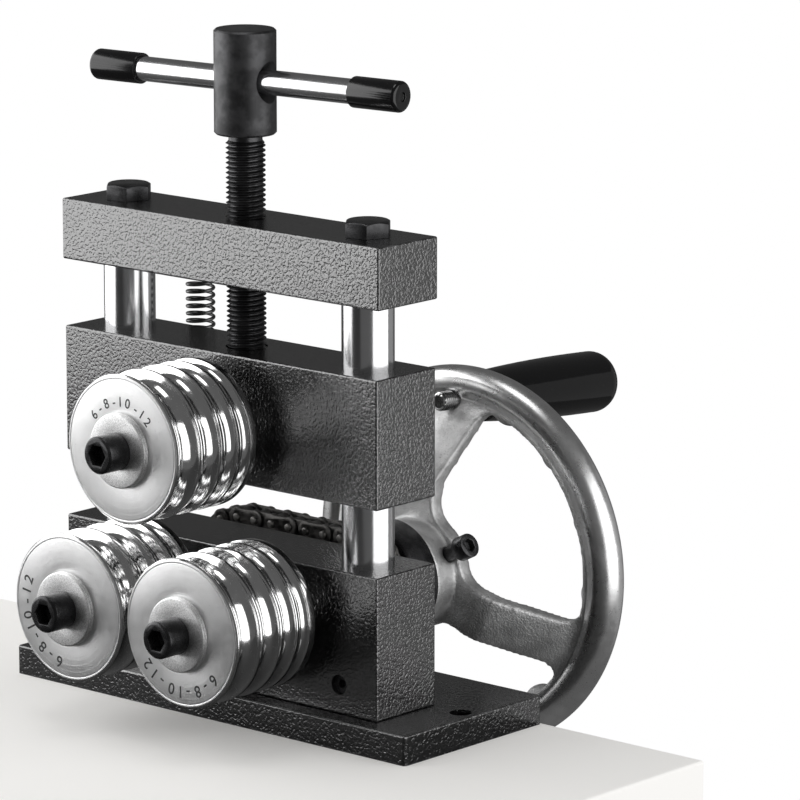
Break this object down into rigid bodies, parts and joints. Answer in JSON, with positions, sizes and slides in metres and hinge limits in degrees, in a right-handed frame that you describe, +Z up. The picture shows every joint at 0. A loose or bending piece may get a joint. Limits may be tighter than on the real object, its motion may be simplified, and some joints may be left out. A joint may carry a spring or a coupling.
{
  "type": "ring roller",
  "caption": "Hand-cranked bench ring roller: a screw presses a grooved top roller between grooved lower rollers, which a handwheel turns by chain.",
  "frame": {"origin": "underside of the base plate, under the middle of the steel blocks in width and depth", "axes": "+X along the front to the crank side's right, +Y from the rollers back to the handwheel, +Z up along the lead screw"},
  "size_m": [0.2179, 0.2784, 0.3077],
  "materials": {
    "wrinkle_paint": "black wrinkle paint, bumpy",
    "black_oxide": "black oxide, satin",
    "hard_chrome": "polished hard chrome",
    "bright_steel": "bright turned steel",
    "zinc": "matte zinc",
    "nickel_casting": "nickel-plated casting, grainy arms and polished rim",
    "gloss_black": "glossy black",
    "spring_steel": "drawn spring wire",
    "chain_steel": "oiled chain steel",
    "bearing_steel": "ground bearing steel",
    "seal_rubber": "black seal"
  },
  "bodies": {
    "frame": {"base_plate": "wrinkle_paint", "lower_block": "wrinkle_paint", "top_bar": "wrinkle_paint", "base_screws": "black_oxide", "guide_posts": "hard_chrome", "post_grub_screws": "black_oxide", "post_bolts": "black_oxide", "upper_spring_screws": "black_oxide", "lower_bearing_outer_rings": "bearing_steel", "lower_bearing_balls": "bearing_steel", "lower_bearing_seals": "seal_rubber", "chain_inner_plates": "chain_steel", "chain_outer_plates": "chain_steel", "chain_rollers": "chain_steel", "chain_pins": "chain_steel"},
    "slider": {"sliding_block": "wrinkle_paint", "thrust_pad": "bright_steel", "slider_spring_screws": "black_oxide", "return_spring_left": "spring_steel", "return_spring_right": "spring_steel", "top_bearing_outer_rings": "bearing_steel", "top_bearing_balls": "bearing_steel", "top_bearing_seals": "seal_rubber"},
    "screw": {"lead_screw": "black_oxide", "tee_boss": "black_oxide"},
    "tommy": {"tommy_bar": "hard_chrome", "tommy_caps": "gloss_black"},
    "top_rolls": {"top_roller": "bright_steel", "top_shaft": "bright_steel", "top_roller_key": "bright_steel", "top_roller_washer": "zinc", "top_cap_screw": "black_oxide", "top_retaining_ring": "spring_steel", "top_bearing_inner_rings": "bearing_steel"},
    "left_rolls": {"left_roller": "bright_steel", "left_shaft": "bright_steel", "left_roller_key": "bright_steel", "left_roller_washer": "zinc", "left_cap_screw": "black_oxide", "left_sprocket": "chain_steel", "left_sprocket_screw": "black_oxide", "left_bearing_inner_rings": "bearing_steel"},
    "drive": {"drive_roller": "bright_steel", "drive_shaft": "bright_steel", "drive_roller_key": "bright_steel", "drive_roller_washer": "zinc", "drive_cap_screw": "black_oxide", "drive_sprocket": "chain_steel", "drive_sprocket_screw": "black_oxide", "drive_bearing_inner_rings": "bearing_steel", "spacer_collar": "black_oxide", "handwheel": "nickel_casting", "wheel_screw": "black_oxide", "handle_stud": "bright_steel"},
    "grip": {"hand_grip": "gloss_black"}
  },
  "joints": [
    {"name": "slider_slide", "type": "slide", "parent": "frame", "child": "slider", "axis": [0, 0, 1], "range_m": [-0.0173, 0.0273], "deforming": ["return_spring_left", "return_spring_right"]},
    {"name": "screw_turn", "type": "hinge", "parent": "slider", "child": "screw", "pos_m": [0, 0, 0.2], "axis": [0, 0, 1], "range_deg": [-3120, 4920]},
    {"name": "tommy_slide", "type": "slide", "parent": "screw", "child": "tommy", "axis": [0.9954, 0.0958, 0], "range_m": [-0.041, 0.039]},
    {"name": "top_roller_spin", "type": "hinge", "parent": "slider", "child": "top_rolls", "pos_m": [0, 0, 0.1183], "axis": [0, 1, 0], "continuous": true},
    {"name": "crank_spin", "type": "hinge", "parent": "frame", "child": "drive", "pos_m": [0.03096, 0, 0.04925], "axis": [0, 1, 0], "continuous": true, "deforming": ["chain_inner_plates", "chain_outer_plates", "chain_rollers", "chain_pins"]},
    {"name": "left_roller_spin", "type": "hinge", "parent": "frame", "child": "left_rolls", "pos_m": [-0.03096, 0, 0.04925], "axis": [0, 1, 0], "continuous": true},
    {"name": "grip_spin", "type": "hinge", "parent": "drive", "child": "grip", "pos_m": [0.02635, 0.09775, 0.11509], "axis": [0.0049, 0.9976, -0.0696], "continuous": true}
  ],
  "couplings": [
    {"joint": "screw_turn", "follows": "slider_slide", "rad_per_m": 3141.6},
    {"joint": "left_roller_spin", "follows": "crank_spin", "ratio": 1}
  ]
}
